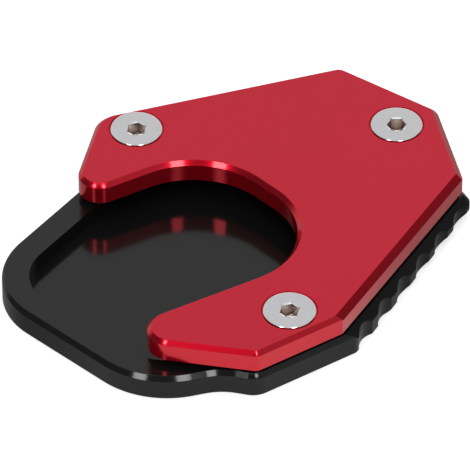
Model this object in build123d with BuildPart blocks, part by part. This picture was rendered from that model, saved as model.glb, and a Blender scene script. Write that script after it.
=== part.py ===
from build123d import *
import math
import os

os.makedirs("parts", exist_ok=True)

# A kickstand foot enlarger: a base plate with a pocket for the stand's foot, and a clamp plate
# with a slot for the stand's leg, held together by three countersunk screws.
# Millimetres, +Z up, underside at Z = 0. The X axis is the middle line of the slot, which opens
# towards -X, and the two screws beside the slot stand on the Y axis.

# Thicknesses, from the ground up
rim_height = 6.0
pocket_floor = 2.0
land_height = 1.5
clamp_thickness = 5.5

# Slot in the clamp plate, whose end is a slanted side between two large corners
slot_width = 43.6
slot_rear_depth = 11.2
slot_front_depth = 23.3
slot_rear_radius = 20.4
slot_front_radius = 18.2

# Plates in plan: the arms beside the slot, and where the outer corners lie
rear_arm = 22.6
front_arm = 23.0
rear_corner_x = -5.4
rear_tip_x = -25.6
front_tip_x = -41.3
front_corner_x = -13.3
grip_start_x = 9.4
grip_start_rise = 1.6
grip_end_x = 57.6
grip_end_y = -14.5
side_corner_x = 64.4
side_corner_y = 8.4
far_corner_x = 52.4
far_corner_drop = 11.7
heel_x = 59.3

# Corner radii of the clamp plate
rear_corner_radius = 6.5
rear_tip_radius = 5.0
front_tip_radius = 5.7
front_corner_radius = 2.5
grip_corner_radius = 1.2
side_corner_radius = 3.2
far_corner_radius = 3.0

# Rounded bay of the base plate, round the slot's mouth: its rear corner lies inside the slot's
# rear side, and its front corner and the neck beyond the slot's front side
bay_start = 19.0
bay_start_radius = 2.0
bay_rear_x = -53.8
bay_rear_inside = 7.5
bay_front_x = -36.9
bay_front_beyond = 12.8
bay_radius = 18.1
neck_x = -19.5
neck_beyond = 17.3
neck_radius = 9.3
base_front_radius = 5.3
base_grip_radius = 1.6

# Pocket for the stand's foot, and the ledge of the clamp plate over it
rim_width = 6.2
ledge = 8.0
cutter_radius = 4.0
land_inset = 3.5

# Edge finishes
edge_chamfer = 1.0
wide_chamfer = 1.5
bottom_break = 0.3
clamp_break = 0.25

# Grip side of the base plate: bevelled on top, relieved below towards the heel, and scalloped
grip_overhang = 1.75
grip_bevel = 2.0
relief_start = 8.4
relief_width = 3.3
relief_slope = 40
scallop_count = 6
scallop_pitch = 8.84
scallop_radius = 5.1
scallop_depth = 1.0
first_scallop = 7.7

# Countersunk screws, M6 x 12
screw_diameter = 6.0
screw_length = 12.0
head_diameter = 12.0
head_rim = 0.55
head_edge = 0.25
hex_size = 4.0
hex_depth = 2.4
hex_mouth = 4.7
drill_point = 118
shank_chamfer = 0.6
countersink_diameter = 12.9
countersink_angle = 90
seat_gap = 0.02
clearance_hole = 6.6
thread_gap = 0.05
thread_mouth = 0.5
rear_screw_beyond = 14.2
front_screw_beyond = 13.9
side_screw_inset = 11.2
side_screw_drop = 0.3

# Heights and places that follow from the sizes above
land_top = rim_height + land_height
clamp_top = land_top + clamp_thickness
half_slot = slot_width / 2
rear_corner = Vector(rear_corner_x, half_slot + rear_arm)
rear_tip = Vector(rear_tip_x, half_slot)
slot_rear_end = Vector(slot_rear_depth, half_slot)
slot_front_end = Vector(slot_front_depth, -half_slot)
front_tip = Vector(front_tip_x, -half_slot)
front_corner = Vector(front_corner_x, -half_slot - front_arm)
grip_start = Vector(grip_start_x, front_corner.Y + grip_start_rise)
grip_end = Vector(grip_end_x, grip_end_y)
side_corner = Vector(side_corner_x, side_corner_y)
far_corner = Vector(far_corner_x, rear_corner.Y - far_corner_drop)
bay_rear = Vector(bay_rear_x, half_slot - bay_rear_inside)
bay_front = Vector(bay_front_x, -half_slot - bay_front_beyond)
neck = Vector(neck_x, -half_slot - neck_beyond)
arm_side = (rear_tip - rear_corner).normalized()
front_side = (grip_start - front_corner).normalized()
grip_side = (grip_end - grip_start).normalized()
heel_side = (side_corner - grip_end).normalized()
off_grip = grip_side.rotate(Axis.Z, -90)
screw_places = {
    "left": (0, half_slot + rear_screw_beyond),
    "front": (0, -half_slot - front_screw_beyond),
    "right": (side_corner.X - side_screw_inset, side_corner.Y - side_screw_drop),
}
hex_turns = {"left": 1, "front": 16, "right": 31}
hanging = (Align.CENTER, Align.CENTER, Align.MAX)


def crossing(point_a, along_a, point_b, along_b):
    # Where two straight sides of an outline would meet
    gap = point_b - point_a
    reach = gap.cross(along_b).Z / along_a.cross(along_b).Z
    return point_a + along_a * reach


def edge_cut(start, end, height, reach, rise):
    # Wedge that cuts the edge off a wall: a slope through the wall's line at the height, which
    # goes inwards by the reach while it goes up by the rise, or down where that is negative.
    # The wedge is made larger than the cut all round.
    side = end - start
    along = side.normalized()
    outwards = along.rotate(Axis.Z, -90)
    oversize = 2
    across = oversize * reach
    up = oversize * rise
    with BuildPart() as wedge:
        with BuildSketch(Plane(origin=end + side / 2, x_dir=outwards, z_dir=-along)):
            with BuildLine():
                Polyline(
                    (-across, height + up),
                    (across, height - up),
                    (across, height + up),
                    close=True,
                )
            make_face()
        extrude(amount=oversize * side.length)
    return wedge.part


def plan_of(corners):
    # Face inside straight sides that meet in rounded corners, from (corner, radius) pairs
    with BuildSketch() as plan:
        with BuildLine():
            FilletPolyline(
                *[corner for corner, radius in corners],
                radius=[radius for corner, radius in corners],
                close=True,
            )
        make_face()
    return plan.sketch


# Clamp plate in plan, with its slot
clamp_plan = plan_of(
    [
        (rear_corner, rear_corner_radius),
        (rear_tip, rear_tip_radius),
        (slot_rear_end, slot_rear_radius),
        (slot_front_end, slot_front_radius),
        (front_tip, front_tip_radius),
        (front_corner, front_corner_radius),
        (grip_start, grip_corner_radius),
        (grip_end, grip_corner_radius),
        (side_corner, side_corner_radius),
        (far_corner, far_corner_radius),
    ]
)

# Base plate in plan: it follows the clamp plate except at the bay, the grip side and the heel
tip_line = grip_start + off_grip * grip_overhang
heel_line = Vector(heel_x, 0)
down = Vector(0, -1)
grip_front = crossing(front_corner, front_side, tip_line, grip_side)
heel = crossing(heel_line, down, tip_line, grip_side)
heel_top = crossing(heel_line, down, side_corner, heel_side)
base_plan = plan_of(
    [
        (rear_corner, rear_corner_radius),
        (rear_corner + arm_side * bay_start, bay_start_radius),
        (bay_rear, bay_radius),
        (bay_front, bay_radius),
        (neck, neck_radius),
        (front_corner, base_front_radius),
        (grip_front, base_grip_radius),
        (heel, base_grip_radius),
        (heel_top, base_grip_radius),
        (side_corner, side_corner_radius),
        (far_corner, far_corner_radius),
    ]
)

# Pocket in plan: inside the rim, no further under the clamp plate than the ledge, and with
# corners as round as the cutter
slot_mouth_x = bay_rear.X - rim_width
slot_plan = plan_of(
    [
        (Vector(slot_mouth_x, half_slot), 0),
        (slot_rear_end, slot_rear_radius),
        (slot_front_end, slot_front_radius),
        (Vector(slot_mouth_x, -half_slot), 0),
    ]
)
with BuildSketch() as pocket_plan:
    add(slot_plan)
    offset(amount=ledge)
    add(offset(base_plan, amount=-rim_width, mode=Mode.PRIVATE), mode=Mode.INTERSECT)
    offset(amount=-cutter_radius)
    offset(amount=cutter_radius)

# Relief under the grip side, in plan on the underside
relief_front = tip_line + grip_side * relief_start
relief_heel = heel - off_grip * relief_width
relief_rise = math.tan(math.radians(relief_slope))

# Base plate
bore_radius = screw_diameter / 2 + thread_gap
with BuildPart() as base_plate:
    add(base_plan)
    extrude(amount=rim_height)
    chamfer(base_plate.faces().sort_by(Axis.Z)[-1].edges(), edge_chamfer)
    chamfer(base_plate.faces().sort_by(Axis.Z)[0].edges(), bottom_break)
    add(
        edge_cut(grip_front, heel, rim_height - grip_bevel, grip_bevel, grip_bevel),
        mode=Mode.SUBTRACT,
    )
    add(
        edge_cut(relief_front, relief_heel, 0, relief_width, -relief_width * relief_rise),
        mode=Mode.SUBTRACT,
    )
    with BuildSketch():
        for place in range(scallop_count):
            centre = tip_line + grip_side * (first_scallop + place * scallop_pitch)
            with Locations(centre + off_grip * (scallop_radius - scallop_depth)):
                Circle(scallop_radius)
    extrude(amount=rim_height, mode=Mode.SUBTRACT)
    with BuildSketch(Plane.XY.offset(rim_height)):
        offset(clamp_plan, amount=-land_inset)
    extrude(amount=land_height)
    with BuildSketch(Plane.XY.offset(pocket_floor)):
        add(pocket_plan.sketch)
    extrude(amount=land_top - pocket_floor, mode=Mode.SUBTRACT)
    with Locations(*[(x, y, land_top) for x, y in screw_places.values()]):
        Hole(bore_radius)
    with Locations(*screw_places.values()):
        Cone(
            bore_radius + thread_mouth,
            bore_radius,
            thread_mouth,
            align=(Align.CENTER, Align.CENTER, Align.MIN),
            mode=Mode.SUBTRACT,
        )
base_plate.part.label = "base_plate"
export_step(base_plate.part, "parts/base_plate.step")

# Clamp plate
with BuildPart() as clamp_plate:
    with BuildSketch(Plane.XY.offset(land_top)):
        add(clamp_plan)
    extrude(amount=clamp_thickness)
    chamfer(clamp_plate.faces().sort_by(Axis.Z)[-1].edges(), edge_chamfer)
    chamfer(clamp_plate.faces().sort_by(Axis.Z)[0].edges(), clamp_break)
    for start, end in ((grip_start, grip_end), (grip_end, side_corner)):
        add(
            edge_cut(start, end, clamp_top - wide_chamfer, wide_chamfer, wide_chamfer),
            mode=Mode.SUBTRACT,
        )
    with Locations(*[(x, y, clamp_top) for x, y in screw_places.values()]):
        CounterSinkHole(
            clearance_hole / 2,
            countersink_diameter / 2,
            counter_sink_angle=countersink_angle,
        )
clamp_plate.part.label = "clamp_plate"
export_step(clamp_plate.part, "parts/clamp_plate.step")

# Screws: the cone of the head sits in the countersink, and its rim stands just clear of the top
head_half_angle = math.radians(countersink_angle / 2)
seat_height = clamp_top - (countersink_diameter - head_diameter) / 2 / math.tan(head_half_angle)
cone_top = seat_height + seat_gap
cone_bottom = cone_top - (head_diameter - screw_diameter) / 2 / math.tan(head_half_angle)
head_top = cone_top + head_rim
screw_end = head_top - screw_length
socket_floor = head_top - hex_depth
drill_depth = hex_size / 2 / math.tan(math.radians(drill_point / 2))
mouth_depth = (hex_mouth - hex_size) / 2
for name, (x, y) in screw_places.items():
    with BuildPart() as screw:
        with BuildSketch(Plane(origin=(x, y, 0), x_dir=(1, 0, 0), z_dir=(0, -1, 0))):
            with BuildLine():
                Polyline(
                    (0, screw_end),
                    (screw_diameter / 2 - shank_chamfer, screw_end),
                    (screw_diameter / 2, screw_end + shank_chamfer),
                    (screw_diameter / 2, cone_bottom),
                    (head_diameter / 2, cone_top),
                    (head_diameter / 2, head_top),
                    (0, head_top),
                    close=True,
                )
            make_face()
        revolve(axis=Axis((x, y, 0), (0, 0, 1)))
        fillet(screw.edges().filter_by(GeomType.CIRCLE).group_by(Axis.Z)[-1], head_edge)
        with BuildSketch(Plane(origin=(x, y, head_top))):
            RegularPolygon(hex_size / 2, 6, major_radius=False, rotation=hex_turns[name])
        extrude(amount=-hex_depth, mode=Mode.SUBTRACT)
        with Locations((x, y, socket_floor)):
            Cone(0, hex_size / 2, drill_depth, align=hanging, mode=Mode.SUBTRACT)
        with Locations((x, y, head_top)):
            Cone(hex_size / 2, hex_mouth / 2, mouth_depth, align=hanging, mode=Mode.SUBTRACT)
    screw.part.label = "screw_" + name
    export_step(screw.part, "parts/screw_" + name + ".step")
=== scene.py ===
from math import atan2, ceil, cos, degrees, pi, radians, sin, sqrt, tan

import bmesh
import bpy
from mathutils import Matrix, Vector


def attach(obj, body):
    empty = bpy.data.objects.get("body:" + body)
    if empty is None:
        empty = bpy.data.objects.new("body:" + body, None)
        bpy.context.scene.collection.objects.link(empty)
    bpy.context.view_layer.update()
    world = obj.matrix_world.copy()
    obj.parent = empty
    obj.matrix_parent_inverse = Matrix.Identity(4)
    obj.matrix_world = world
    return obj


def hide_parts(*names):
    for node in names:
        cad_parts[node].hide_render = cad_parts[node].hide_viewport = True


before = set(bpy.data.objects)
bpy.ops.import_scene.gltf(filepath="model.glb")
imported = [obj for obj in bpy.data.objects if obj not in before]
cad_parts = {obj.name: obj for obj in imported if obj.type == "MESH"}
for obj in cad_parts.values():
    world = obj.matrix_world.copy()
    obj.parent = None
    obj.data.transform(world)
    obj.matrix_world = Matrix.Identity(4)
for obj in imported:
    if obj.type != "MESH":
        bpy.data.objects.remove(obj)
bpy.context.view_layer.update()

# Kickstand foot enlarger: a black base plate with a pocket, a red slotted clamp plate on top of it,
# and three countersunk socket screws. Lengths are in millimetres until a mesh is made.
mm = 0.001
meshing = {
    "mergeWithin": 0.002,
    "sharpAbove": 28,  # degrees between two faces
    "flatWeight": 100,
    "softness": 0.03, "softShare": 0.45,  # reach of an eased corner, and its share of a short side
    "largeRadius": 4, "largeStep": 4, "smallStep": 9, "fewestSteps": 3,  # steps in degrees
    "leastRadius": 0.02, "turnedSteps": 96,
    "cutterReach": 1.0,  # how far a cutter goes past the surface that it breaks through
}


def toLinear(hexColour):
    channels = [int(hexColour[i:i + 2], 16) / 255 for i in (0, 2, 4)]
    linear = [c / 12.92 if c <= 0.04045 else ((c + 0.055) / 1.055) ** 2.4 for c in channels]
    return (*linear, 1.0)


def addNode(tree, kind, settings=None, inputs=None):
    node = tree.nodes.new(kind)
    for name, value in (settings or {}).items():
        setattr(node, name, value)
    for socket, value in (inputs or {}).items():
        if isinstance(value, bpy.types.Node):
            value = value.outputs[0]
        if isinstance(value, bpy.types.NodeSocket):
            tree.links.new(value, node.inputs[socket])
        else:
            node.inputs[socket].default_value = value
    return node


def newObject(name, mesh):
    made = bpy.data.objects.new(name, mesh)
    bpy.context.scene.collection.objects.link(made)
    return made


def meshFrom(name, points, faces):
    mesh = bpy.data.meshes.new(name)
    mesh.from_pydata([Vector(p) * mm for p in points], [], faces)
    return mesh


def cross2(a, b):
    return a.x * b.y - a.y * b.x


def meeting(pointA, wayA, pointB, wayB):
    # where two straight lines of a plan cross
    return pointA + wayA * (cross2(pointB - pointA, wayB) / cross2(wayA, wayB))


def bakeModifiers(piece):
    # what the modifiers make becomes the plain mesh
    evaluated = piece.evaluated_get(bpy.context.evaluated_depsgraph_get())
    done = bpy.data.meshes.new_from_object(evaluated)
    piece.modifiers.clear()
    piece.data = done
    return piece


def combine(piece, tool, operation):
    # one exact boolean with a tool that is thrown away
    step = piece.modifiers.new("combine", "BOOLEAN")
    step.solver = "EXACT"
    step.operation = operation
    step.object = tool
    bakeModifiers(piece)
    bpy.data.objects.remove(tool)
    return piece


def tidyMesh(piece):
    # doubles go, and every face of the closed shell looks outwards
    within = meshing["mergeWithin"] * mm
    shell = bmesh.new()
    shell.from_mesh(piece.data)
    bmesh.ops.remove_doubles(shell, verts=shell.verts, dist=within)
    bmesh.ops.dissolve_degenerate(shell, edges=shell.edges, dist=within)
    bmesh.ops.recalc_face_normals(shell, faces=shell.faces)
    shell.to_mesh(piece.data)
    shell.free()
    return piece


def shadeMachined(piece, sharpAbove=meshing["sharpAbove"]):
    # smooth across the rounded edges, sharp where a tool left a corner
    shell = bmesh.new()
    shell.from_mesh(piece.data)
    for face in shell.faces:
        face.smooth = True
    for edge in shell.edges:
        edge.smooth = len(edge.link_faces) == 2 and degrees(edge.calc_face_angle(0)) < sharpAbove
    shell.to_mesh(piece.data)
    shell.free()
    flats = piece.modifiers.new("flatFacesStayFlat", "WEIGHTED_NORMAL")
    flats.keep_sharp = True
    flats.weight = meshing["flatWeight"]
    return piece


def handOver(piece, node):
    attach(piece, "root")
    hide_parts(node)
    print("piece", piece.name, "stands for", node, "with", len(piece.data.polygons), "faces")


def wallProfile(bottom, top, foot, low, edge, flat):
    # (inset, height) points of a wall: broken or cut back below by foot and low, bevelled above
    return [(foot + flat, bottom), (foot, bottom), (0, bottom + low),
            (0, top - edge), (edge, top), (edge + flat, top)]


def softened(profile):
    # gives each inner point of a wall's profile three, which ease its corner. The number beside
    # a point says which point of the profile it comes from.
    softness, share = meshing["softness"], meshing["softShare"]
    eased = [(profile[0], 0)]
    for index in range(1, len(profile) - 1):
        before, here, after = (Vector(profile[index + k]) for k in (-1, 0, 1))
        reachBack = min(softness, share * (before - here).length)
        reachOn = min(softness, share * (after - here).length)
        start = here + (before - here).normalized() * reachBack
        end = here + (after - here).normalized() * reachOn
        eased += [(tuple(point), index) for point in (start, (start + end + 2 * here) / 4, end)]
    eased.append((profile[-1], len(profile) - 1))
    return eased


def planWalls(corners, profiles, stations=None):
    # columns of points round a plan of (x, y, radius) corners, anticlockwise. Side i runs from
    # corner i to the next, and profiles[i] holds its (inset, height) points at both of its ends.
    # stations adds columns along a side, as (distance from its corner, profile, distance along).
    # An entry of a column is (place, which point of the profile, distance along).
    count = len(corners)
    spots = [Vector(c[:2]) for c in corners]
    ways = [(spots[(i + 1) % count] - spots[i]).normalized() for i in range(count)]
    inwards = [Vector((-w.y, w.x)) for w in ways]
    columns = []
    for i in range(count):
        turn = atan2(cross2(ways[i - 1], ways[i]), ways[i - 1].dot(ways[i]))
        radius = corners[i][2]
        stepSize = meshing["largeStep" if radius > meshing["largeRadius"] else "smallStep"]
        steps = max(meshing["fewestSteps"], ceil(degrees(abs(turn)) / stepSize))
        endOfLast = softened(profiles[i - 1][1])
        startOfNext = softened(profiles[i][0])
        corner = [[] for _ in range(steps + 1)]
        for (pointA, group), (pointB, _) in zip(endOfLast, startOfNext):
            insetA, insetB = pointA[0], pointB[0]
            tip = meeting(
                spots[i] + inwards[i - 1] * insetA, ways[i - 1],
                spots[i] + inwards[i] * insetB, ways[i],
            )
            mean = (insetA + insetB) / 2
            hand = 1 if turn > 0 else -1
            bend = max(radius - hand * mean, meshing["leastRadius"])
            start = tip - ways[i - 1] * bend * tan(abs(turn) / 2)
            centre = start + inwards[i - 1] * hand * bend
            arm = start - centre
            for k in range(steps + 1):
                angle = turn * k / steps
                x = centre.x + arm.x * cos(angle) - arm.y * sin(angle)
                y = centre.y + arm.x * sin(angle) + arm.y * cos(angle)
                z = pointA[1] + (pointB[1] - pointA[1]) * k / steps
                corner[k].append(((x, y, z), group, None))
        columns += corner
        for distance, profile, along in (stations or {}).get(i, []):
            spot = spots[i] + ways[i] * distance
            column = []
            for (inset, z), group in softened(profile):
                place = spot + inwards[i] * inset
                column.append(((place.x, place.y, z), group, along))
            columns.append(column)
    return columns


def closedBody(name, columns):
    # quads between neighbouring columns, and a face that closes each end
    rows = len(columns[0])
    points = [entry[0] for column in columns for entry in column]
    faces = []
    for i in range(len(columns)):
        j = (i + 1) % len(columns)
        for row in range(rows - 1):
            here, there = i * rows + row, j * rows + row
            faces.append((here, there, there + 1, here + 1))
    faces.append([i * rows for i in reversed(range(len(columns)))])
    faces.append([i * rows + rows - 1 for i in range(len(columns))])
    return meshFrom(name, points, faces)


def prism(name, corners, inset, low, high):
    straight = [(inset, low), (inset, high)]
    columns = planWalls(corners, [(straight, straight)] * len(corners))
    return newObject(name, closedBody(name, columns))


def turnedBody(name, profile, place):
    # (radius, height) points, from the axis and back to it, turned about a vertical axis
    points, faces, rows, steps = [], [], len(profile), meshing["turnedSteps"]
    for column in range(steps):
        angle = 2 * pi * column / steps
        for radius, height in profile:
            points.append((place[0] + radius * cos(angle), place[1] + radius * sin(angle), height))
        nextColumn = (column + 1) % steps
        for row in range(rows - 1):
            here, there = column * rows + row, nextColumn * rows + row
            faces.append((here, there, there + 1, here + 1))
    return tidyMesh(newObject(name, meshFrom(name, points, faces)))


# plan of the plates: the X axis is the middle line of the slot, which opens towards -X
plan = {
    "rearCorner": (-5.4, 44.4), "rearTip": (-25.6, 21.8), "slotRear": (11.2, 21.8),
    "slotFront": (23.3, -21.8), "frontTip": (-41.3, -21.8), "frontCorner": (-13.3, -44.8),
    "gripStart": (9.4, -43.2), "gripEnd": (57.6, -14.5), "sideCorner": (64.4, 8.4),
    "farCorner": (52.4, 32.7), "bayRear": (-53.62, 14.3), "bayFront": (-37.2, -34.9),
    "neck": (-19.5, -39.1), "mouthRear": (-60.0, 21.8), "mouthFront": (-60.0, -21.8),
    "bayStart": 19.0, "gripOverhang": 1.75, "heelX": 59.3,
    "screws": {"left": (0, 36.0), "front": (0, -35.7), "right": (53.2, 8.1)},
}
at = {name: Vector(spot) for name, spot in plan.items() if isinstance(spot, tuple)}
gripWay = (at["gripEnd"] - at["gripStart"]).normalized()
offGrip = Vector((gripWay.y, -gripWay.x))
tipLine = at["gripStart"] + offGrip * plan["gripOverhang"]
frontWay = (at["gripStart"] - at["frontCorner"]).normalized()
heelWay = (at["sideCorner"] - at["gripEnd"]).normalized()
armWay = (at["rearTip"] - at["rearCorner"]).normalized()
heelLine, upWay = Vector((plan["heelX"], 0)), Vector((0, 1))
at["gripFront"] = meeting(at["frontCorner"], frontWay, tipLine, gripWay)
at["heel"] = meeting(heelLine, upWay, tipLine, gripWay)
at["heelTop"] = meeting(heelLine, upWay, at["sideCorner"], heelWay)
at["bayStart"] = at["rearCorner"] + armWay * plan["bayStart"]

# stage: a pale floor, two soft boxes on the camera's side, and a studio that is bright behind the
# object, overhead and below, and darker to the sides. The horizon and the zenith glow more, for
# the glints on the heads and round their sockets. A part of the studio comes in where the cosine
# to its way passes start, and is whole at full. The gloss values say how bright reflections show
# the floor: less close to the object, a painted shadow, than in front of it and behind it.
stage = {
    "cameraFrom": (-539.9, -978.7, 990.0), "cameraAt": (9.0, 5.45, 0.0), "lens": 500.9,
    "sensorWidth": 36, "clip": (50, 30000),
    "floorHalf": 4000, "floorDrop": 0.02, "floorColour": "EDEDED", "floorForCamera": 0.62,
    "glossInPaintedShadow": 0.3, "glossFront": 0.76, "glossBack": 0.6, "glossWay": (-0.3, -1.0, 0.0),
    "frontFrom": 10, "frontTo": 60, "backFrom": -60, "backTo": -120,
    "sideLevel": 0.17,
    "behind": {"way": (0.487, 0.873, 0.0), "start": 0.22, "full": 0.5, "level": 0.85},
    "horizon": {"way": (0.487, 0.873, 0.0), "start": 0.85, "full": 0.97, "level": 1.5},
    "overhead": {"way": (0.0, 0.0, 1.0), "start": 0.745, "full": 0.82, "level": 0.9},
    "zenith": {"way": (0.0, 0.0, 1.0), "start": 0.93, "full": 0.975, "level": 1.5},
    "right": {"way": (0.455, -0.629, 0.628), "start": 0.85, "full": 0.97, "level": 0.55},
    "below": {"way": (0.0, 0.0, -1.0), "start": 0.2, "full": 0.8, "level": 0.9},
    "softBoxes": [(-155, 45), (-99, 47)], "softBoxAway": 2600, "softBoxSize": (560, 600),
    "softBoxPower": 7.8,
}

cameraData = bpy.data.cameras.new("productCamera")
cameraData.lens = stage["lens"]
cameraData.sensor_width = stage["sensorWidth"]
cameraData.clip_start, cameraData.clip_end = (distance * mm for distance in stage["clip"])
camera = newObject("productCamera", cameraData)
cameraFrom, cameraAt = Vector(stage["cameraFrom"]), Vector(stage["cameraAt"])
camera.location = cameraFrom * mm
camera.rotation_euler = (cameraAt - cameraFrom).to_track_quat("-Z", "Y").to_euler()
bpy.context.scene.camera = camera
bpy.context.scene.view_settings.view_transform = "Standard"

half, drop = stage["floorHalf"], stage["floorDrop"]
floorCorners = [(-half, -half), (half, -half), (half, half), (-half, half)]
floorPoints = [(x, y, -drop) for x, y in floorCorners]
floor = newObject("floor", meshFrom("floor", floorPoints, [(0, 1, 2, 3)]))
paper = bpy.data.materials.new("matte white paper sweep")  # white to the lens, and takes a shadow
paper.use_nodes = True
tree = paper.node_tree
tree.nodes.clear()
rays = addNode(tree, "ShaderNodeLightPath").outputs
ground = addNode(tree, "ShaderNodeTexCoord").outputs
# glossy rays see the floor glow, dimmer close to the object: a painted shadow in reflections
ahead = addNode(tree, "ShaderNodeVectorMath", {"operation": "DOT_PRODUCT"}, {
    0: ground["Object"], 1: stage["glossWay"]})
inFront = addNode(tree, "ShaderNodeMapRange", {"interpolation_type": "SMOOTHSTEP"}, {
    "Value": ahead.outputs["Value"], "From Min": stage["frontFrom"] * mm,
    "From Max": stage["frontTo"] * mm, "To Min": stage["glossInPaintedShadow"],
    "To Max": stage["glossFront"]})
behind = addNode(tree, "ShaderNodeMapRange", {"interpolation_type": "SMOOTHSTEP"}, {
    "Value": ahead.outputs["Value"], "From Min": stage["backTo"] * mm,
    "From Max": stage["backFrom"] * mm, "To Min": stage["glossBack"], "To Max": 0.0})
mirrored = addNode(tree, "ShaderNodeMath", {"operation": "MAXIMUM"}, {0: inFront, 1: behind})
forCamera = addNode(tree, "ShaderNodeMath", {"operation": "MULTIPLY"}, {
    0: rays["Is Camera Ray"], 1: stage["floorForCamera"]})
forGloss = addNode(tree, "ShaderNodeMath", {"operation": "MULTIPLY"}, {
    0: rays["Is Glossy Ray"], 1: mirrored})
glow = addNode(tree, "ShaderNodeMath", {"operation": "ADD"}, {0: forCamera, 1: forGloss})
matte = addNode(tree, "ShaderNodeBsdfDiffuse", None, {"Color": toLinear(stage["floorColour"])})
emission = addNode(tree, "ShaderNodeEmission", None, {"Strength": glow})
lit = addNode(tree, "ShaderNodeAddShader", None, {0: matte, 1: emission})
shown = addNode(tree, "ShaderNodeMixShader", None, {0: rays["Is Glossy Ray"], 1: lit, 2: emission})
# clear from below, so that a camera under the floor sees the underside of the part
clear = addNode(tree, "ShaderNodeBsdfTransparent")
isBack = addNode(tree, "ShaderNodeNewGeometry").outputs["Backfacing"]
surface = addNode(tree, "ShaderNodeMixShader", None, {0: isBack, 1: shown, 2: clear})
addNode(tree, "ShaderNodeOutputMaterial", None, {"Surface": surface})
floor.data.materials.append(paper)

world = bpy.data.worlds.new("studio")
bpy.context.scene.world = world
world.use_nodes = True
tree = world.node_tree
tree.nodes.clear()
direction = addNode(tree, "ShaderNodeTexCoord").outputs["Generated"]
studioLevel = stage["sideLevel"]
for part in (stage[key] for key in ("behind", "horizon", "overhead", "zenith", "right", "below")):
    towards = addNode(tree, "ShaderNodeVectorMath", {"operation": "DOT_PRODUCT"}, {
        0: direction, 1: part["way"]})
    shared = addNode(tree, "ShaderNodeMapRange", {"interpolation_type": "SMOOTHSTEP"}, {
        "Value": towards.outputs["Value"], "From Min": part["start"], "From Max": part["full"],
        "To Min": 0.0, "To Max": part["level"]})
    studioLevel = addNode(tree, "ShaderNodeMath", {"operation": "MAXIMUM"}, {
        0: studioLevel, 1: shared})
rays = addNode(tree, "ShaderNodeLightPath").outputs
shownLevel = addNode(tree, "ShaderNodeMix", None, {  # white to the lens
    0: rays["Is Camera Ray"], 2: studioLevel, 3: 1.0})
background = addNode(tree, "ShaderNodeBackground", None, {"Strength": shownLevel})
addNode(tree, "ShaderNodeOutputWorld", None, {"Surface": background})

boxWidth, boxHeight = (side * mm for side in stage["softBoxSize"])
for number, (azimuth, elevation) in enumerate(stage["softBoxes"]):
    lamp = bpy.data.lights.new(f"softBox{number}", "AREA")
    lamp.shape = "ELLIPSE"
    lamp.size, lamp.size_y = boxWidth, boxHeight
    lamp.energy = stage["softBoxPower"]
    box = newObject(f"softBox{number}", lamp)
    around, up = radians(azimuth), radians(elevation)
    away = Vector((cos(around) * cos(up), sin(around) * cos(up), sin(up)))
    box.location = away * stage["softBoxAway"] * mm
    box.rotation_euler = away.to_track_quat("Z", "Y").to_euler()
    box.visible_camera = False
print("stage ready")


def anodised(name, look):
    # Anodised aluminium: a dyed layer under a thin clear oxide. On the red it gives a metal's
    # coloured sheen with a pale gloss over it, and on the black only the gloss shows.
    made = bpy.data.materials.new(name)
    made.use_nodes = True
    tree = made.node_tree
    shader = tree.nodes["Principled BSDF"]
    place = addNode(tree, "ShaderNodeTexCoord").outputs["Object"]
    # marks of the making, drawn out along the height where a cutter ran down the wall
    drawn = addNode(tree, "ShaderNodeVectorMath", {"operation": "MULTIPLY"}, {
        0: place, 1: (1.0, 1.0, look["markStretch"])})
    marks = addNode(tree, "ShaderNodeTexNoise", {"noise_dimensions": "3D"}, {
        "Vector": drawn, "Scale": 1 / (look["markWidth"] * mm), "Detail": look["markDetail"]})
    cloud = addNode(tree, "ShaderNodeTexNoise", {"noise_dimensions": "3D"}, {
        "Vector": place, "Scale": 1 / (look["cloudWidth"] * mm), "Detail": look["cloudDetail"]})
    shade = addNode(tree, "ShaderNodeMix", {"data_type": "RGBA"}, {
        0: cloud.outputs["Fac"], 6: toLinear(look["dark"]), 7: toLinear(look["light"])})
    tree.links.new(shade.outputs[2], shader.inputs["Base Color"])
    rough = addNode(tree, "ShaderNodeMapRange", None, {
        "Value": marks.outputs["Fac"], "To Min": look["rough"] - look["roughSpread"],
        "To Max": look["rough"] + look["roughSpread"]})
    tree.links.new(rough.outputs["Result"], shader.inputs["Roughness"])
    bump = addNode(tree, "ShaderNodeBump", None, {
        "Height": marks.outputs["Fac"], "Strength": look["bump"],
        "Distance": look["bumpDepth"] * mm})
    tree.links.new(bump.outputs["Normal"], shader.inputs["Normal"])
    shader.inputs["Metallic"].default_value = look["metallic"]
    if "ior" in look:
        shader.inputs["IOR"].default_value = look["ior"]
    if "coat" in look:
        shader.inputs["Coat Weight"].default_value = look["coat"]
        shader.inputs["Coat Roughness"].default_value = look["coatRough"]
        shader.inputs["Coat IOR"].default_value = look["coatIor"]
    if look["alongCut"]:
        # the cutter's lines run level round the edges, so highlights spread up and down them
        normal = addNode(tree, "ShaderNodeNewGeometry").outputs["Normal"]
        alongEdge = addNode(tree, "ShaderNodeVectorMath", {"operation": "CROSS_PRODUCT"}, {
            0: normal, 1: (0.0, 0.0, 1.0)})
        upwards = addNode(tree, "ShaderNodeVectorMath", {"operation": "CROSS_PRODUCT"}, {
            0: alongEdge, 1: normal})
        tree.links.new(upwards.outputs[0], shader.inputs["Tangent"])
        shader.inputs["Anisotropic"].default_value = look["alongCut"]
    return made


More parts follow.
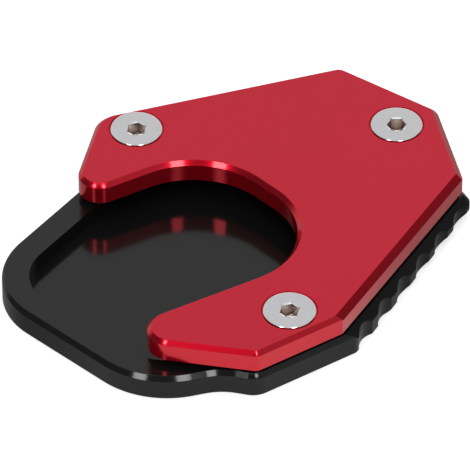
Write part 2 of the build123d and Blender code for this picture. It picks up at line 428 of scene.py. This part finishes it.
# Bead blast leaves a grain of about 0.1 mm, and an end mill leaves upright lines about as fine.
# Both are drawn wider here, at the widths below, because finer ones can't show.
redDye = {"dark": "D6002A", "light": "E00032", "cloudWidth": 25, "cloudDetail": 3.0,
          "metallic": 1.0, "coat": 0.8, "coatIor": 1.45}
blackDye = {"dark": "141414", "light": "181818", "cloudWidth": 25, "cloudDetail": 3.0,
            "metallic": 0.0, "ior": 1.45}
blasted = {"rough": 0.26, "roughSpread": 0.04, "coatRough": 0.12, "bump": 0.03, "bumpDepth": 0.02,
           "markWidth": 0.35, "markDetail": 2.0, "markStretch": 1.0, "alongCut": 0.0}
lapped = {**blasted, "rough": 0.14, "roughSpread": 0.02, "bump": 0.02}
bevelled = {**blasted, "rough": 0.18, "roughSpread": 0.03, "coatRough": 0.1, "bump": 0.05,
            "alongCut": 0.6}
endMilled = {**blasted, "rough": 0.22, "roughSpread": 0.04, "coatRough": 0.12, "bump": 0.08,
             "markWidth": 0.4, "markStretch": 0.03, "alongCut": 0.7}
redFinishes = [
    anodised("red anodised aluminium, blasted", {**redDye, **blasted}),
    anodised("red anodised aluminium, bevelled", {
        **redDye, **bevelled, "dark": "D80022", "light": "E20028", "rough": 0.3}),
    anodised("red anodised aluminium, end milled", {
        **redDye, **endMilled, "dark": "E80022", "light": "F00028", "metallic": 0.68,
        "rough": 0.13, "roughSpread": 0.02}),
]
blackFinishes = [
    anodised("black anodised aluminium, lapped", {**blackDye, **lapped}),
    anodised("black anodised aluminium, bevelled", {**blackDye, **bevelled, "rough": 0.13}),
    anodised("black anodised aluminium, end milled", {
        **blackDye, **endMilled, "rough": 0.26, "ior": 1.4}),
]


def stainless(name, look):
    # A2 stainless steel, pale grey, with fine rings round the axis where it was turned. It is
    # duller near the axis, where keys have been turned in it: as wornRough out to wornWithin, and
    # as rough from wornFade times as far.
    made = bpy.data.materials.new(name)
    made.use_nodes = True
    tree = made.node_tree
    shader = tree.nodes["Principled BSDF"]
    shader.inputs["Metallic"].default_value = 1.0
    place = addNode(tree, "ShaderNodeTexCoord").outputs["Object"]
    stain = addNode(tree, "ShaderNodeTexNoise", {"noise_dimensions": "3D"}, {
        "Vector": place, "Scale": 1 / (look["stainWidth"] * mm), "Detail": look["stainDetail"]})
    shade = addNode(tree, "ShaderNodeMix", {"data_type": "RGBA"}, {
        0: stain.outputs["Fac"], 6: toLinear(look["dark"]), 7: toLinear(look["light"])})
    tree.links.new(shade.outputs[2], shader.inputs["Base Color"])
    fromAxis = addNode(tree, "ShaderNodeAttribute", {"attribute_name": "fromAxis"})
    worn = look["wornWithin"] * mm
    rough = addNode(tree, "ShaderNodeMapRange", None, {
        "Value": fromAxis.outputs["Fac"], "From Min": worn, "From Max": worn * look["wornFade"],
        "To Min": look["wornRough"], "To Max": look["rough"]})
    tree.links.new(rough.outputs["Result"], shader.inputs["Roughness"])
    phase = addNode(tree, "ShaderNodeMath", {"operation": "MULTIPLY"}, {
        0: fromAxis.outputs["Fac"], 1: 2 * pi / (look["ringSpacing"] * mm)})
    rings = addNode(tree, "ShaderNodeMath", {"operation": "SINE"}, {0: phase})
    bump = addNode(tree, "ShaderNodeBump", None, {
        "Height": rings, "Strength": look["bump"], "Distance": look["bumpDepth"] * mm})
    tree.links.new(bump.outputs["Normal"], shader.inputs["Normal"])
    return made


turnedSteel = stainless("stainless steel, turned", {
    "dark": "DEDEE0", "light": "E8E8EA", "stainWidth": 3, "stainDetail": 3.0,
    "rough": 0.16, "wornRough": 0.22, "wornWithin": 2.6, "wornFade": 1.15,
    "ringSpacing": 0.3, "bump": 0.15, "bumpDepth": 0.01})
# the socket's steel is darker and browner than the head's: painted shade in the socket
socketSteelInPaintedShade = stainless("stainless steel, broached, darkened as painted shade", {
    "dark": "BFB1AB", "light": "EFE4DF", "stainWidth": 0.8, "stainDetail": 3.0,
    "rough": 0.24, "wornRough": 0.3, "wornWithin": 1.5, "wornFade": 1.15,
    "ringSpacing": 0.5, "bump": 0.1, "bumpDepth": 0.01})
print("finishes ready")


# upward share of a face's normal above which it counts as level, or else as a bevel
faceTilts = {"level": 0.98, "bevel": 0.3}


def dressPlate(piece, finishes):
    # level faces take the first finish, bevels the second and upright walls the third
    piece.data.materials.clear()
    for finish in finishes:
        piece.data.materials.append(finish)
    for face in piece.data.polygons:
        tilt = abs(face.normal.z)
        face.material_index = 2 - (tilt > faceTilts["bevel"]) - (tilt > faceTilts["level"])


def roundedCorners(pairs):
    return [(*at[name], radius) for name, radius in pairs]


base = {
    "corners": [
        ("rearCorner", 6.5), ("bayStart", 2.0), ("bayRear", 18.1), ("bayFront", 21.0),
        ("neck", 13.0), ("frontCorner", 5.3), ("gripFront", 1.6), ("heel", 1.6),
        ("heelTop", 1.6), ("sideCorner", 3.2), ("farCorner", 3.0)],
    "height": 6.0, "chamfer": 1.0, "rearChamfer": 0.2, "bottomBreak": 0.15, "gripBevel": 2.0,
    "flat": 0.3,  # level strip beside each bevel
    "reliefStart": 8.4, "reliefWidth": 3.3, "reliefSlope": 40,  # slope in degrees
    "scallops": 6, "scallopPitch": 8.84, "scallopRadius": 5.1, "scallopDepth": 1.0,
    "firstScallop": 7.7, "tipRadius": 0.5, "arcSteps": 16,
    "runOut": 0.12,  # from a scallop's end to its last column but one
    "landTop": 7.5, "landInset": 3.5, "pocketFloor": 2.0, "rim": 6.2, "ledge": 8.0,
    "pocketCorners": [
        ("mouthFront", 0), ("slotFront", 18.2), ("slotRear", 20.4), ("mouthRear", 0)],
    "boreRadius": 3.05, "boreMouth": 0.5,
}
reliefSlope = tan(radians(base["reliefSlope"]))
heelStation = (at["heel"] - tipLine).dot(gripWay)
frontStation = (at["gripFront"] - tipLine).dot(gripWay)


def reliefAt(station):
    # how far the underside is cut back, which grows from nothing towards the heel
    share = (station - base["reliefStart"]) / (heelStation - base["reliefStart"])
    return base["reliefWidth"] * max(0, share)


def baseWall(foot, low, edge):
    return wallProfile(0, base["height"], foot, low, edge, base["flat"])


def gripWall(station):
    foot = max(reliefAt(station), base["bottomBreak"])
    low = max(reliefAt(station) * reliefSlope, base["bottomBreak"])
    return baseWall(foot, low, base["gripBevel"])


def scallopStations():
    # distances along the grip side of the columns that its scallops need
    outer = base["scallopRadius"] + base["tipRadius"]
    halfWidth = sqrt(outer ** 2 - (outer - base["scallopDepth"]) ** 2)
    arcHalf = halfWidth * base["scallopRadius"] / outer
    arcSteps = base["arcSteps"]
    besideArc = [(halfWidth + arcHalf) / 2, halfWidth - base["runOut"], halfWidth]
    offsets = [-offset for offset in reversed(besideArc)]
    offsets += [arcHalf * (2 * step / arcSteps - 1) for step in range(arcSteps + 1)]
    offsets += besideArc
    middles = [base["firstScallop"] + k * base["scallopPitch"] for k in range(base["scallops"])]
    return [middle + offset for middle in middles for offset in offsets]


baseCorners = roundedCorners(base["corners"])
sides = [name for name, _ in base["corners"]]  # a side is named for the corner it starts at
gripSide, heelSide, baySide = (sides.index(name) for name in ("gripFront", "heel", "bayStart"))
bottomBreak = base["bottomBreak"]
plainWall = baseWall(bottomBreak, bottomBreak, base["chamfer"])
# the bay's rear edge is only broken, which its outline in the photograph asks for
rearWall = baseWall(bottomBreak, bottomBreak, base["rearChamfer"])
reliefHeel = at["heel"] - offGrip * base["reliefWidth"]
reliefFront = tipLine + gripWay * base["reliefStart"]
reliefEnd = meeting(heelLine, upWay, reliefHeel, (reliefHeel - reliefFront).normalized())
reliefInset = at["heel"].x - reliefHeel.x
heelWall = baseWall(reliefInset, base["reliefWidth"] * reliefSlope, base["chamfer"])
baseWalls = [(plainWall, plainWall)] * len(baseCorners)
baseWalls[gripSide] = (gripWall(frontStation), gripWall(heelStation))
baseWalls[heelSide] = (heelWall, plainWall)
baseWalls[baySide] = (rearWall, rearWall)
stations = {
    gripSide: [(spot - frontStation, gripWall(spot), spot) for spot in scallopStations()],
    heelSide: [((reliefEnd - at["heel"]).length, plainWall, None)],
}
columns = planWalls(baseCorners, baseWalls, stations)
basePlate = newObject("basePlate", closedBody("basePlate", columns))

# each point of the walls carries what the scallop tree needs to know about it
entries = [entry for column in columns for entry in column]
nowhere = -1000.0  # a distance along that no scallop reaches
footPoints, lowPoint, highPoint = (0, 1), 2, 3  # the points of a profile that a scallop moves
attributes = {
    "along": [nowhere if along is None else along for _, _, along in entries],
    "relief": [0.0 if along is None else reliefAt(along) for _, _, along in entries],
    "isFoot": [float(group in footPoints) for _, group, _ in entries],
    "isLow": [float(group == lowPoint) for _, group, _ in entries],
    "isHigh": [float(group == highPoint) for _, group, _ in entries],
}
for name, amounts in attributes.items():
    basePlate.data.attributes.new(name, "FLOAT", "POINT").data.foreach_set("value", amounts)


def scallopTree():
    # presses a row of round scallops into the grip side, and carries the bevel above and the
    # relief below along with them
    tree = bpy.data.node_groups.new("scallops", "GeometryNodeTree")
    tree.interface.new_socket("Plate", in_out="INPUT", socket_type="NodeSocketGeometry")
    for name in ("Count", "Pitch", "Radius", "Depth", "First", "Tip radius", "Bottom break",
                 "Relief slope"):
        tree.interface.new_socket(name, in_out="INPUT", socket_type="NodeSocketFloat")
    tree.interface.new_socket("Inwards", in_out="INPUT", socket_type="NodeSocketVector")
    tree.interface.new_socket("Finish", in_out="INPUT", socket_type="NodeSocketMaterial")
    tree.interface.new_socket("Plate", in_out="OUTPUT", socket_type="NodeSocketGeometry")
    known = dict(addNode(tree, "NodeGroupInput").outputs.items())
    for name in attributes:
        known[name] = addNode(tree, "GeometryNodeInputNamedAttribute", {"data_type": "FLOAT"}, {
            "Name": name})
    for name, operation, *values in (
            # distance from the middle of the nearest scallop, far away where there is none
            ("fromFirst", "SUBTRACT", "along", "First"),
            ("counted", "DIVIDE", "fromFirst", "Pitch"),
            ("rounded", "ROUND", "counted"),
            ("notBefore", "MAXIMUM", "rounded", 0.0),
            ("last", "SUBTRACT", "Count", 1.0),
            ("nearest", "MINIMUM", "notBefore", "last"),
            ("pitches", "SUBTRACT", "counted", "nearest"),
            ("offWithSign", "MULTIPLY", "pitches", "Pitch"),
            ("off", "ABSOLUTE", "offWithSign"),
            # half width of a scallop where its round edges end, and where its arc does
            ("sunk", "SUBTRACT", "Radius", "Depth"),
            ("outer", "ADD", "Radius", "Tip radius"),
            ("outerSunk", "ADD", "sunk", "Tip radius"),
            ("outerSquare", "MULTIPLY", "outer", "outer"),
            ("sunkSquare", "MULTIPLY", "outerSunk", "outerSunk"),
            ("edgeSquare", "SUBTRACT", "outerSquare", "sunkSquare"),
            ("edgeOff", "SQRT", "edgeSquare"),
            ("edgeTimesRadius", "MULTIPLY", "edgeOff", "Radius"),
            ("arcOff", "DIVIDE", "edgeTimesRadius", "outer"),
            # depth on the arc
            ("inArc", "MINIMUM", "off", "arcOff"),
            ("inArcSquare", "MULTIPLY", "inArc", "inArc"),
            ("radiusSquare", "MULTIPLY", "Radius", "Radius"),
            ("arcLeft", "SUBTRACT", "radiusSquare", "inArcSquare"),
            ("arcReach", "SQRT", "arcLeft"),
            ("arcDepth", "SUBTRACT", "arcReach", "sunk"),
            # depth on the round edge beside it
            ("toEdge", "SUBTRACT", "edgeOff", "off"),
            ("inside", "MAXIMUM", "toEdge", 0.0),
            ("inTip", "MINIMUM", "inside", "Tip radius"),
            ("inTipSquare", "MULTIPLY", "inTip", "inTip"),
            ("tipSquare", "MULTIPLY", "Tip radius", "Tip radius"),
            ("tipLeft", "SUBTRACT", "tipSquare", "inTipSquare"),
            ("tipReach", "SQRT", "tipLeft"),
            ("tipDepth", "SUBTRACT", "Tip radius", "tipReach"),
            ("isArc", "LESS_THAN", "off", "arcOff"),
            ("isEdge", "SUBTRACT", 1.0, "isArc"),
            ("arcShare", "MULTIPLY", "isArc", "arcDepth"),
            ("edgeShare", "MULTIPLY", "isEdge", "tipDepth"),
            ("depth", "ADD", "arcShare", "edgeShare"),
            # how far the foot, the lower edge and the upper edge of each column move
            ("broken", "ADD", "depth", "Bottom break"),
            ("footNow", "MAXIMUM", "relief", "broken"),
            ("footThen", "MAXIMUM", "relief", "Bottom break"),
            ("footMove", "SUBTRACT", "footNow", "footThen"),
            ("reliefLeft", "SUBTRACT", "relief", "depth"),
            ("sloped", "MULTIPLY", "reliefLeft", "Relief slope"),
            ("lowNow", "MAXIMUM", "sloped", "Bottom break"),
            ("slopedThen", "MULTIPLY", "relief", "Relief slope"),
            ("lowThen", "MAXIMUM", "slopedThen", "Bottom break"),
            ("lowMove", "SUBTRACT", "lowNow", "lowThen"),
            ("isEdgeRow", "ADD", "isLow", "isHigh"),
            ("edgesInwards", "MULTIPLY", "isEdgeRow", "depth"),
            ("footInwards", "MULTIPLY", "isFoot", "footMove"),
            ("inwardsBy", "ADD", "edgesInwards", "footInwards"),
            ("lowUp", "MULTIPLY", "isLow", "lowMove"),
            ("highUp", "MULTIPLY", "isHigh", "depth"),
            ("upBy", "ADD", "lowUp", "highUp")):
        known[name] = addNode(tree, "ShaderNodeMath", {"operation": operation}, {
            index: known.get(value, value) for index, value in enumerate(values)})
    side = addNode(tree, "ShaderNodeVectorMath", {"operation": "SCALE"}, {
        0: known["Inwards"], "Scale": known["inwardsBy"]})
    rise = addNode(tree, "ShaderNodeCombineXYZ", None, {"Z": known["upBy"]})
    shift = addNode(tree, "ShaderNodeVectorMath", {"operation": "ADD"}, {0: side, 1: rise})
    shiftMetres = addNode(tree, "ShaderNodeVectorMath", {"operation": "SCALE"}, {
        0: shift, "Scale": mm})
    moved = addNode(tree, "GeometryNodeSetPosition", None, {
        "Geometry": known["Plate"], "Offset": shiftMetres})
    real = addNode(tree, "GeometryNodeRealizeInstances", None, {"Geometry": moved})
    dressed = addNode(tree, "GeometryNodeSetMaterial", None, {
        "Geometry": real, "Material": known["Finish"]})
    addNode(tree, "NodeGroupOutput", None, {"Plate": dressed})
    return tree


def runTree(piece, tree, values):
    # sets the named inputs by their identifiers, then keeps what the tree makes as a plain mesh
    step = piece.modifiers.new(tree.name, "NODES")
    step.node_group = tree
    sockets = [item for item in tree.interface.items_tree if item.in_out == "INPUT"]
    for socket in sockets:
        if socket.name in values:
            step[socket.identifier] = values[socket.name]
    return bakeModifiers(piece)


runTree(basePlate, scallopTree(), {
    "Count": float(base["scallops"]), "Pitch": base["scallopPitch"],
    "Radius": base["scallopRadius"], "Depth": base["scallopDepth"],
    "First": base["firstScallop"], "Tip radius": base["tipRadius"],
    "Bottom break": base["bottomBreak"], "Relief slope": reliefSlope,
    "Inwards": (-offGrip.x, -offGrip.y, 0.0), "Finish": blackFinishes[0]})
tidyMesh(basePlate)
print("grip side scalloped")

clamp = {
    "corners": [
        ("rearCorner", 6.5), ("rearTip", 5.0), ("slotRear", 20.4), ("slotFront", 18.2),
        ("frontTip", 5.7), ("frontCorner", 2.5), ("gripStart", 1.2), ("gripEnd", 1.2),
        ("sideCorner", 3.2), ("farCorner", 3.0)],
    "bottom": 7.5, "top": 13.0, "chamfer": 1.0, "wideChamfer": 1.5, "bottomBreak": 0.25,
    "flat": 0.3, "wideSides": ("gripStart", "gripEnd"),
    "holeRadius": 3.3, "sinkRadius": 6.45, "seatRadius": 6.05, "lipRadius": 6.4,
    "lipDepth": 0.5,
}
clampCorners = roundedCorners(clamp["corners"])

# the raised land under the clamp plate, the pocket for the stand's foot, and the tapped holes
reach, landTop = meshing["cutterReach"], base["landTop"]
land = prism("land", clampCorners, base["landInset"], base["height"] - base["flat"], landTop)
combine(basePlate, land, "UNION")
pocketCorners = roundedCorners(base["pocketCorners"])
pocket = prism("pocket", pocketCorners, -base["ledge"], base["pocketFloor"], landTop + reach)
bay = prism("bay", baseCorners, base["rim"], 0, landTop + 2 * reach)
combine(pocket, bay, "INTERSECT")
combine(basePlate, pocket, "DIFFERENCE")
bore, boreMouth = base["boreRadius"], base["boreMouth"]
boreProfile = [(0, -reach), (bore + boreMouth + reach, -reach), (bore, boreMouth),
               (bore, landTop + reach), (0, landTop + reach)]
for place in plan["screws"].values():
    combine(basePlate, turnedBody("bore", boreProfile, place), "DIFFERENCE")
tidyMesh(basePlate)
dressPlate(basePlate, blackFinishes)
shadeMachined(basePlate)
handOver(basePlate, "base_plate")


def clampWall(edge):
    lowerEdge = clamp["bottomBreak"]
    return wallProfile(clamp["bottom"], clamp["top"], lowerEdge, lowerEdge, edge, clamp["flat"])


def countersinkProfile():
    # a clearance hole, a cone at 45 degrees, and an upright lip round the head
    hole, sink, seat, lip = (
        clamp[key] for key in ("holeRadius", "sinkRadius", "seatRadius", "lipRadius"))
    low, high, top = clamp["bottom"] - reach, clamp["top"] + reach, clamp["top"]
    return [(0, low), (hole, low), (hole, top - sink + hole), (seat, top - sink + seat),
            (lip, top - clamp["lipDepth"]), (lip, high), (0, high)]


clampWalls = []
for name, _ in clamp["corners"]:
    wall = clampWall(clamp["wideChamfer" if name in clamp["wideSides"] else "chamfer"])
    clampWalls.append((wall, wall))
clampPlate = newObject("clampPlate", closedBody("clampPlate", planWalls(clampCorners, clampWalls)))
tidyMesh(clampPlate)
for place in plan["screws"].values():
    combine(clampPlate, turnedBody("countersink", countersinkProfile(), place), "DIFFERENCE")
tidyMesh(clampPlate)
dressPlate(clampPlate, redFinishes)
shadeMachined(clampPlate)
handOver(clampPlate, "clamp_plate")

screw = {
    "end": 1.12, "shank": 3.0, "endChamfer": 0.6, "coneBottom": 9.57, "coneTop": 12.57,
    "headRadius": 6.0, "headTop": 13.12, "edge": 0.18, "edgeSteps": 3, "coneSoftness": 0.1,
    "hexHalf": 2.0, "mouthRadius": 2.5, "mouthDepth": 0.16, "hexFloor": 9.62, "drillDepth": 1.2,
    "pitch": 1.0, "threadDepth": 0.55, "threadTop": 8.6, "rowsPerPitch": 8, "columns": 96,
    "socketRows": 3, "weldWithin": 0.001,
    "sharpAbove": 12,  # lower than on the plates, so that the bevel round the socket stays crisp
    "turns": {"left": -7, "front": 47, "right": 31},  # degrees, read from the photograph
}


def screwRows():
    # (radius, height, hexagon share, thread share) from the tip's centre, up round the head, and
    # down the socket to the centre of its floor. The last socketRows of them make the socket.
    end, shank, headTop, edge = (screw[key] for key in ("end", "shank", "headTop", "edge"))
    rows = [(0, end, 0, 0), (shank - screw["endChamfer"], end, 0, 0),
            (shank, end + screw["endChamfer"], 0, 0)]
    rise = screw["pitch"] / screw["rowsPerPitch"]
    height = end + screw["endChamfer"] + rise
    while height < screw["threadTop"]:
        # the thread fades out over its last turn
        rows.append((shank, height, 0, min(1, (screw["threadTop"] - height) / screw["pitch"])))
        height += rise
    rows += [(shank, screw["threadTop"], 0, 0), (shank, screw["coneBottom"], 0, 0)]
    soft, headRadius = screw["coneSoftness"], screw["headRadius"]
    rows += [(headRadius - soft, screw["coneTop"] - soft, 0, 0),
             (headRadius, screw["coneTop"] + soft, 0, 0)]
    for step in range(screw["edgeSteps"] + 1):
        angle = pi / 2 * step / screw["edgeSteps"]
        rows.append((
            headRadius - edge * (1 - cos(angle)), headTop - edge * (1 - sin(angle)), 0, 0))
    rows.append((headRadius - edge - soft, headTop, 0, 0))
    # round the socket a shallow bevel, from a circle on the head down to the hexagon
    rows += [(screw["mouthRadius"], headTop, 0, 0), (0, headTop - screw["mouthDepth"], 1, 0)]
    rows += [(0, screw["hexFloor"], 1, 0), (screw["hexHalf"], screw["hexFloor"], 0, 0),
             (0, screw["hexFloor"] - screw["drillDepth"], 0, 0)]
    return rows


rowValues = ["radius", "height", "hexagon", "thread"]


def screwTree():
    # turns the rows about the axis, with a hexagon where a row asks for one and a helix on the
    # shank
    tree = bpy.data.node_groups.new("socketScrew", "GeometryNodeTree")
    tree.interface.new_socket("Rows", in_out="INPUT", socket_type="NodeSocketGeometry")
    for name in ("Row count", "Columns", "Socket rows"):
        tree.interface.new_socket(name, in_out="INPUT", socket_type="NodeSocketInt")
    for name in ("Hexagon half width", "Pitch", "Thread depth", "Turn", "Place X", "Place Y"):
        tree.interface.new_socket(name, in_out="INPUT", socket_type="NodeSocketFloat")
    for name in ("Finish", "Socket steel in painted shade"):
        tree.interface.new_socket(name, in_out="INPUT", socket_type="NodeSocketMaterial")
    tree.interface.new_socket("Screw", in_out="OUTPUT", socket_type="NodeSocketGeometry")
    known = dict(addNode(tree, "NodeGroupInput").outputs.items())
    sheet = addNode(tree, "GeometryNodeMeshGrid", None, {
        "Size X": 1.0, "Size Y": 1.0, "Vertices X": known["Row count"],
        "Vertices Y": known["Columns"]})
    spot = addNode(tree, "ShaderNodeSeparateXYZ", None, {
        0: addNode(tree, "GeometryNodeInputPosition")})
    known["sheetX"], known["sheetY"] = spot.outputs["X"], spot.outputs["Y"]
    sums = [
        # which row a point of the sheet belongs to, and how far round it stands
        ("acrossSheet", "ADD", "sheetX", 0.5),
        ("lastRow", "SUBTRACT", "Row count", 1.0),
        ("rowShare", "MULTIPLY", "acrossSheet", "lastRow"),
        ("row", "ROUND", "rowShare"),
        ("share", "ADD", "sheetY", 0.5),
        ("angle", "MULTIPLY", "share", 2 * pi),
        # radius of the hexagon there, the same on both sides of the middle of each flat
        ("inSixth", "MODULO", "angle", pi / 3),
        ("sixth", "SUBTRACT", "inSixth", pi / 6),
        ("slant", "COSINE", "sixth"),
        ("hexRadius", "DIVIDE", "Hexagon half width", "slant"),
        # depth of the thread there
        ("pitches", "DIVIDE", "height", "Pitch"),
        ("wound", "SUBTRACT", "pitches", "share"),
        ("wave", "FRACT", "wound"),
        ("doubled", "MULTIPLY", "wave", 2.0),
        ("centred", "SUBTRACT", "doubled", 1.0),
        ("groove", "ABSOLUTE", "centred"),
        ("grooveDepth", "MULTIPLY", "groove", "Thread depth"),
        ("cut", "MULTIPLY", "grooveDepth", "thread"),
        ("hexShare", "MULTIPLY", "hexagon", "hexRadius"),
        ("wide", "ADD", "radius", "hexShare"),
        ("reach", "SUBTRACT", "wide", "cut"),
        ("turn", "RADIANS", "Turn"),
        ("turned", "ADD", "angle", "turn"),
        ("cosine", "COSINE", "turned"),
        ("sine", "SINE", "turned"),
        ("offX", "MULTIPLY", "reach", "cosine"),
        ("offY", "MULTIPLY", "reach", "sine"),
        ("x", "ADD", "Place X", "offX"),
        ("y", "ADD", "Place Y", "offY"),
        ("reachMetres", "MULTIPLY", "reach", mm),
        ("firstOfSocket", "SUBTRACT", "lastRow", "Socket rows"),
    ]
    for name, operation, *values in sums:
        known[name] = addNode(tree, "ShaderNodeMath", {"operation": operation}, {
            index: known.get(value, value) for index, value in enumerate(values)})
        if name == "row":
            for key in rowValues:
                value = addNode(tree, "GeometryNodeInputNamedAttribute", {
                    "data_type": "FLOAT"}, {"Name": key})
                known[key] = addNode(tree, "GeometryNodeSampleIndex", {
                    "data_type": "FLOAT", "domain": "POINT"}, {
                        "Geometry": known["Rows"], "Value": value, "Index": known["row"]})
    point = addNode(tree, "ShaderNodeCombineXYZ", None, {
        "X": known["x"], "Y": known["y"], "Z": known["height"]})
    pointMetres = addNode(tree, "ShaderNodeVectorMath", {"operation": "SCALE"}, {
        0: point, "Scale": mm})
    noted = sheet
    for name, value in {"fromAxis": known["reachMetres"], "row": known["row"]}.items():
        noted = addNode(tree, "GeometryNodeStoreNamedAttribute", {
            "data_type": "FLOAT", "domain": "POINT"}, {
                "Geometry": noted, "Name": name, "Value": value})
    shaped = addNode(tree, "GeometryNodeSetPosition", None, {
        "Geometry": noted, "Position": pointMetres})
    welded = addNode(tree, "GeometryNodeMergeByDistance", None, {
        "Geometry": shaped, "Distance": screw["weldWithin"] * mm})
    rowRead = addNode(tree, "GeometryNodeInputNamedAttribute", {"data_type": "FLOAT"}, {
        "Name": "row"})
    isSocket = addNode(tree, "ShaderNodeMath", {"operation": "GREATER_THAN"}, {
        0: rowRead, 1: known["firstOfSocket"]})
    real = addNode(tree, "GeometryNodeRealizeInstances", None, {"Geometry": welded})
    dressed = addNode(tree, "GeometryNodeSetMaterial", None, {
        "Geometry": real, "Material": known["Finish"]})
    # the socket's faces take the darker steel, which is painted shade
    dressed = addNode(tree, "GeometryNodeSetMaterial", None, {
        "Geometry": dressed, "Selection": isSocket, "Material": known["Socket steel in painted shade"]})
    addNode(tree, "NodeGroupOutput", None, {"Screw": dressed})
    return tree


rows = screwRows()
turnedScrew = screwTree()
for name, place in plan["screws"].items():
    line = meshFrom("screwRows", [(0, 0, number) for number in range(len(rows))], [])
    for index, key in enumerate(rowValues):
        amounts = [float(row[index]) for row in rows]
        line.attributes.new(key, "FLOAT", "POINT").data.foreach_set("value", amounts)
    piece = newObject("screw" + name.capitalize(), line)
    runTree(piece, turnedScrew, {
        "Row count": len(rows), "Columns": screw["columns"] + 1,
        "Socket rows": screw["socketRows"], "Hexagon half width": screw["hexHalf"],
        "Pitch": screw["pitch"], "Thread depth": screw["threadDepth"],
        "Turn": float(screw["turns"][name]), "Place X": float(place[0]),
        "Place Y": float(place[1]), "Finish": turnedSteel, "Socket steel in painted shade": socketSteelInPaintedShade})
    tidyMesh(piece)
    shadeMachined(piece, screw["sharpAbove"])
    handOver(piece, "screw_" + name)
